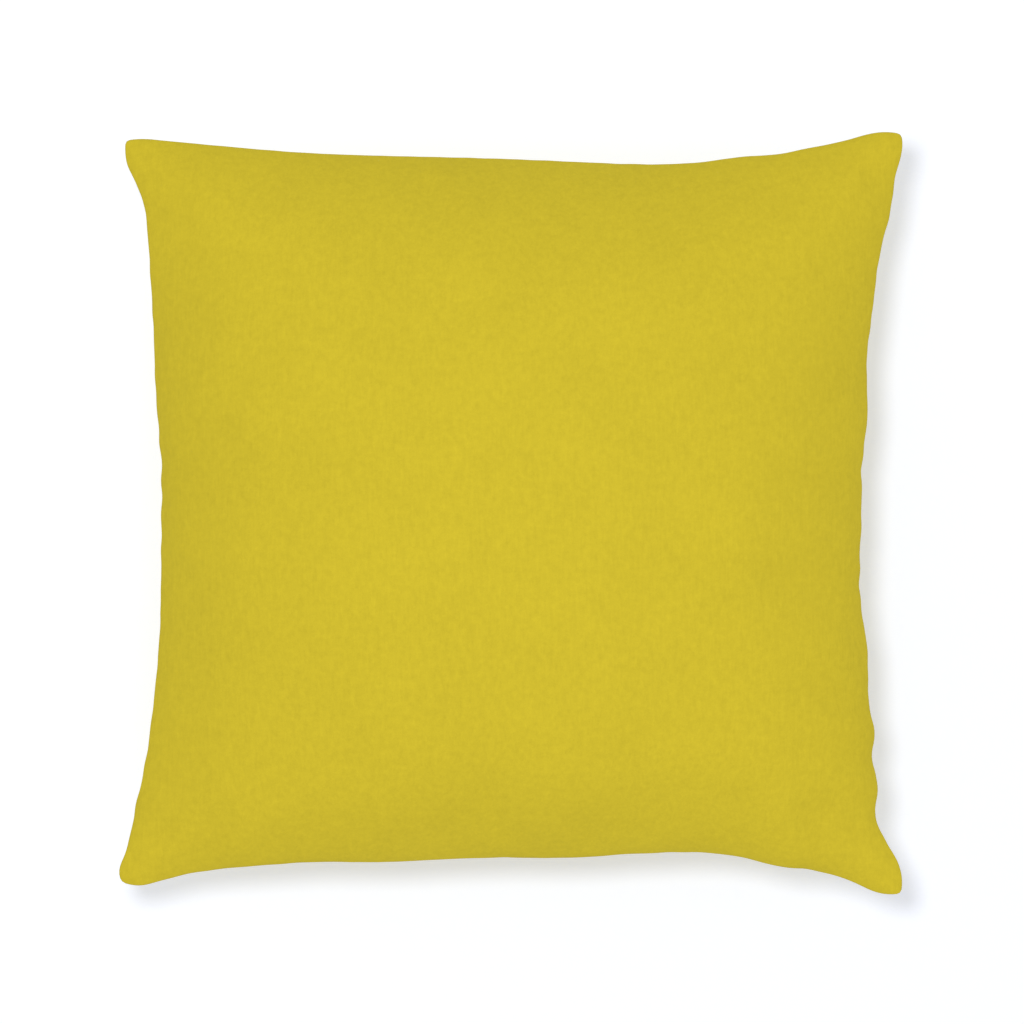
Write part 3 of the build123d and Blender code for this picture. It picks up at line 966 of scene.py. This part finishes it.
class PILLOW_OT_zip(bpy.types.Operator):
    """Wind the zip's two nylon coils, sew its tapes on, and finish its tapes and metal"""
    bl_idname = "pillow.zip"
    bl_label = "Zip"

    def execute(self, context):
        for half, side, shift in (("front", 1, 0), ("back", -1, 0.5)):
            self.coil(half, side, shift)
            self.stitches(half, side, context.scene.pillow_shape.stitch)
        materials = {"zipper_tape_front": zip_tape(), "zipper_tape_back": zip_tape()}
        for name in ("top_stop_front", "top_stop_back", "bottom_stop", "slider", "pull_tab"):
            materials["zipper_" + name] = plated_metal()
        for node, material in materials.items():
            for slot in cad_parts[node].material_slots:
                slot.material = material
        return {"FINISHED"}

    def coil(self, half, side, shift):
        """A flattened spiral whose loops cross the middle, except beyond the slider's wedge.

        shift is how much of a pitch the spiral starts later, so that the two coils interlock.
        """
        pitch, wire, steps = 1.5 * MM, 0.26 * MM, 14
        low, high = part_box("zipper_coil_" + half)
        start = low.x + wire + (0.25 + shift) * pitch
        turns = int((high.x - wire - start) / pitch)
        turn = np.arange(turns * steps + 1) / steps
        x = start + pitch * turn
        middle = (low.y + high.y) / 2
        outer = (high.z if side > 0 else low.z) - side * wire
        tip = (low.z if side > 0 else high.z) + side * wire
        bar = SEAM_Z + side * (0.95 * MM + wire)
        wedge = SLIDER_HIGH.x - 3.2 * MM
        parted = np.clip((x - wedge) / (1.5 * MM), 0, 1)
        inner = tip + (bar - tip) * parted
        centre, reach = (outer + inner) / 2, (outer - inner) / 2
        depth = (high.y - low.y) / 2 - wire
        angle = 2 * pi * turn
        path = np.column_stack([
            x, middle + depth * np.sin(angle), centre + reach * np.cos(angle)])
        points, faces = tube(path, wire, 6)
        piece = make_piece("zip_coil_" + half, points, faces, nylon(),
                           nodes=["zipper_coil_" + half])
        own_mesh(piece)

    def stitches(self, half, side, length):
        """The row that sews a tape to the allowance."""
        low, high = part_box("zipper_stitches_" + half)
        face = SHELF - 0.5 * MM - 0.14 * MM
        y = (low.y + high.y) / 2
        path = np.array([(low.x, y, SEAM_Z + side * face), (high.x, y, SEAM_Z + side * face)])
        points, faces = lockstitch(path, length, -side * 0.8 * MM, 0.15 * MM)
        make_piece("zip_stitches_" + half, points, faces, sewing_thread(),
                   nodes=["zipper_stitches_" + half])


def to_line(points, line):
    """The distance from each point to the nearest place on a closed line."""
    start, run = line, np.roll(line, -1, axis=0) - line
    offset = points[:, None] - start[None]
    share = np.clip((offset * run).sum(-1) / (run * run).sum(-1), 0, 1)
    return np.linalg.norm(offset - share[..., None] * run, axis=-1).min(1)


HALVINGS = 22                     # enough to place a point to well under a micrometre


def drawn_in(inset):
    """The cover's seam line drawn in by an even distance, found on rays from the middle."""
    line, _, _ = seam_line(cover_rim())
    low, high = np.zeros(len(line)), np.ones(len(line))
    for _ in range(HALVINGS):
        middle = (low + high) / 2
        clear = to_line(line * middle[:, None], line) > inset
        low, high = np.where(clear, middle, low), np.where(clear, high, middle)
    return line * low[:, None]


STEEPEST = 0.4                    # the gap is no longer measured square to a steeper cover


def inner_half(side, inset, gap, rounding, rim):
    """A half inside the cover, drawn in all round, that curves down to a low rim."""
    loop = drawn_in(inset)
    steps = GRID - 1
    corners = [np.roll(loop, -steps * number, axis=0)[:GRID] for number in range(4)]
    plan = patch(*corners)
    grid = cover_grids()[0 if side > 0 else 1].reshape(-1, 3)
    tree = BVHTree.FromPolygons(grid.tolist(), grid_faces(GRID, GRID).tolist())
    away = Vector((0, 0, side))
    height = np.empty(GRID * GRID)
    for number, (x, y) in enumerate(plan.reshape(-1, 2)):
        hit, normal, _, _ = tree.ray_cast(Vector((x, y, SEAM_Z)), away)
        height[number] = abs(hit.z - SEAM_Z) - gap / max(abs(normal.z), STEEPEST)
    height = height.reshape(GRID, GRID)
    edge = to_line(plan.reshape(-1, 2), loop).reshape(GRID, GRID)
    curve = np.sqrt(1 - (1 - np.clip(edge / rounding, 0, 1)) ** 2)
    height = np.maximum(height * curve, rim)
    return np.dstack([plan, SEAM_Z + side * height]), edge


# Inset from the cover's seam line, gap under the cover, rounding of the edge and rim's height.
INSERT_HALF = 14.8 * MM, 1.3 * MM, 22 * MM, 1.2 * MM
FIBRE_HALF = 22 * MM, 2.6 * MM, 24 * MM, 0.0
INSERT_ALLOWANCE = 5.5 * MM


class PILLOW_OT_insert(bpy.types.Operator):
    """Make the insert's two panels, its seam threads and its closing stitches"""
    bl_idname = "pillow.insert"
    bl_label = "Insert"

    def execute(self, context):
        shape = context.scene.pillow_shape
        rims = []
        for name, side in (("insert_front", 1), ("insert_back", -1)):
            grid, _ = inner_half(side, *INSERT_HALF)
            rims.append(grid.reshape(-1, 3)[rim_loop(GRID)])
            piece = sewn_panel(name, grid, side, shape.lining, lining_cloth(),
                               allowance=INSERT_ALLOWANCE, zip_too=False)
        self.threads(rims[0], shape)
        self.closing(rims[0])
        return {"FINISHED"}

    def threads(self, rim, shape):
        """The lockstitch round the insert."""
        _, inward, _ = seam_line(rim, zip_too=False)
        flat = rim[:, :2] + inward * thread_depth(rim, 2.1 * MM)[:, None]
        face = shape.lining + PLAIN_GAP * MM + 0.12 * MM
        for name, side in (("insert_needle_thread", 1), ("insert_bobbin_thread", -1)):
            path = np.column_stack([flat, np.full(len(flat), SEAM_Z + side * face)])
            points, faces = lockstitch(path, shape.stitch, side * face, 0.13 * MM)
            node = "insert_seam_" + name.removeprefix("insert_")
            make_piece(name, points, faces, insert_thread(), nodes=[node])

    def closing(self, rim):
        """Slanting hand stitches over the edge along the stuffing opening."""
        pitch, steps = 4.5 * MM, 12
        opening = (rim[:, 0] > CLOSING_LOW.x) & (rim[:, 0] < CLOSING_HIGH.x)
        top = rim[(rim[:, 1] > 0) & opening]
        top = top[np.argsort(top[:, 0])]
        count = int((top[-1, 0] - top[0, 0]) / pitch) * steps + 1
        line = evenly(top, count)
        turn = np.arange(count) * 2 * pi / steps
        y = line[:, 1] + 0.1 * MM + 1.0 * MM * np.cos(turn)
        path = np.column_stack([line[:, 0], y, SEAM_Z + 1.9 * MM * np.sin(turn)])
        points, faces = tube(path, 0.2 * MM, 6)
        make_piece("insert_closing", points, faces, insert_thread(),
                   nodes=["insert_closing_stitches"])


class PILLOW_OT_fill(bpy.types.Operator):
    """Stuff the insert with one lofty, lumpy mass of fibre"""
    bl_idname = "pillow.fill"
    bl_label = "Fibre fill"

    def execute(self, context):
        halves = []
        for side in (1, -1):
            grid, edge = inner_half(side, *FIBRE_HALF)
            x, y = grid[..., 0], grid[..., 1]
            across = waves(x + 0.4 * y, 26 * MM, 70 * MM, 31 + side)
            lumps = across * waves(y - 0.3 * x, 24 * MM, 66 * MM, 41 + side)
            fade = np.clip(edge / (12 * MM), 0, 1)
            sink = 1.6 * MM * (0.6 + 0.6 * lumps) * fade
            halves.append(grid - normals(grid) * side * np.clip(sink, 0, None)[..., None])
        front, back = halves
        back[0], back[-1] = front[0], front[-1]
        back[:, 0], back[:, -1] = front[:, 0], front[:, -1]
        points = np.concatenate([front.reshape(-1, 3), back.reshape(-1, 3)])
        lower = grid_faces(GRID, GRID, 0, True)
        remap = np.arange(GRID * GRID) + GRID * GRID
        loop = rim_loop(GRID)
        remap[loop] = loop
        faces = list(grid_faces(GRID, GRID)) + list(remap[lower])
        kept = np.ones(len(points), bool)
        kept[loop + GRID * GRID] = False
        number = np.cumsum(kept) - 1
        faces = [tuple(number[i] for i in face) for face in faces]
        piece = make_piece("fibre_fill", points[kept], faces, fibre(),
                           nodes=["insert_fibre_fill"])
        return {"FINISHED"}


class PILLOW_PT_sidebar(bpy.types.Panel):
    """Lists the pillow's settings and the steps that build it"""
    bl_label = "Pillow"
    bl_idname = "PILLOW_PT_sidebar"
    bl_space_type = "VIEW_3D"
    bl_region_type = "UI"
    bl_category = "Pillow"

    def draw(self, context):
        for group_name in GROUPS:
            group, box = getattr(context.scene, group_name), self.layout.box()
            for name in group.__annotations__:
                box.prop(group, name)
        for step in STEPS:
            self.layout.operator(step.bl_idname)


GROUPS = {"pillow_shape": PillowShape, "pillow_finish": PillowFinish, "pillow_stage": PillowStage}
STEPS = (PILLOW_OT_stage, PILLOW_OT_cover, PILLOW_OT_cover_stitches, PILLOW_OT_zip,
         PILLOW_OT_insert, PILLOW_OT_fill)


def register():
    for name, group in GROUPS.items():
        bpy.utils.register_class(group)
        setattr(bpy.types.Scene, name, bpy.props.PointerProperty(type=group))
    for step in STEPS:
        bpy.utils.register_class(step)
    bpy.utils.register_class(PILLOW_PT_sidebar)


def unregister():
    bpy.utils.unregister_class(PILLOW_PT_sidebar)
    for step in reversed(STEPS):
        bpy.utils.unregister_class(step)
    for name, group in reversed(GROUPS.items()):
        delattr(bpy.types.Scene, name)
        bpy.utils.unregister_class(group)


def main():
    register()
    bpy.ops.pillow.stage()
    bpy.ops.pillow.cover()
    bpy.ops.pillow.cover_stitches()
    bpy.ops.pillow.zip()
    bpy.ops.pillow.insert()
    bpy.ops.pillow.fill()


if __name__ == "__main__":
    main()
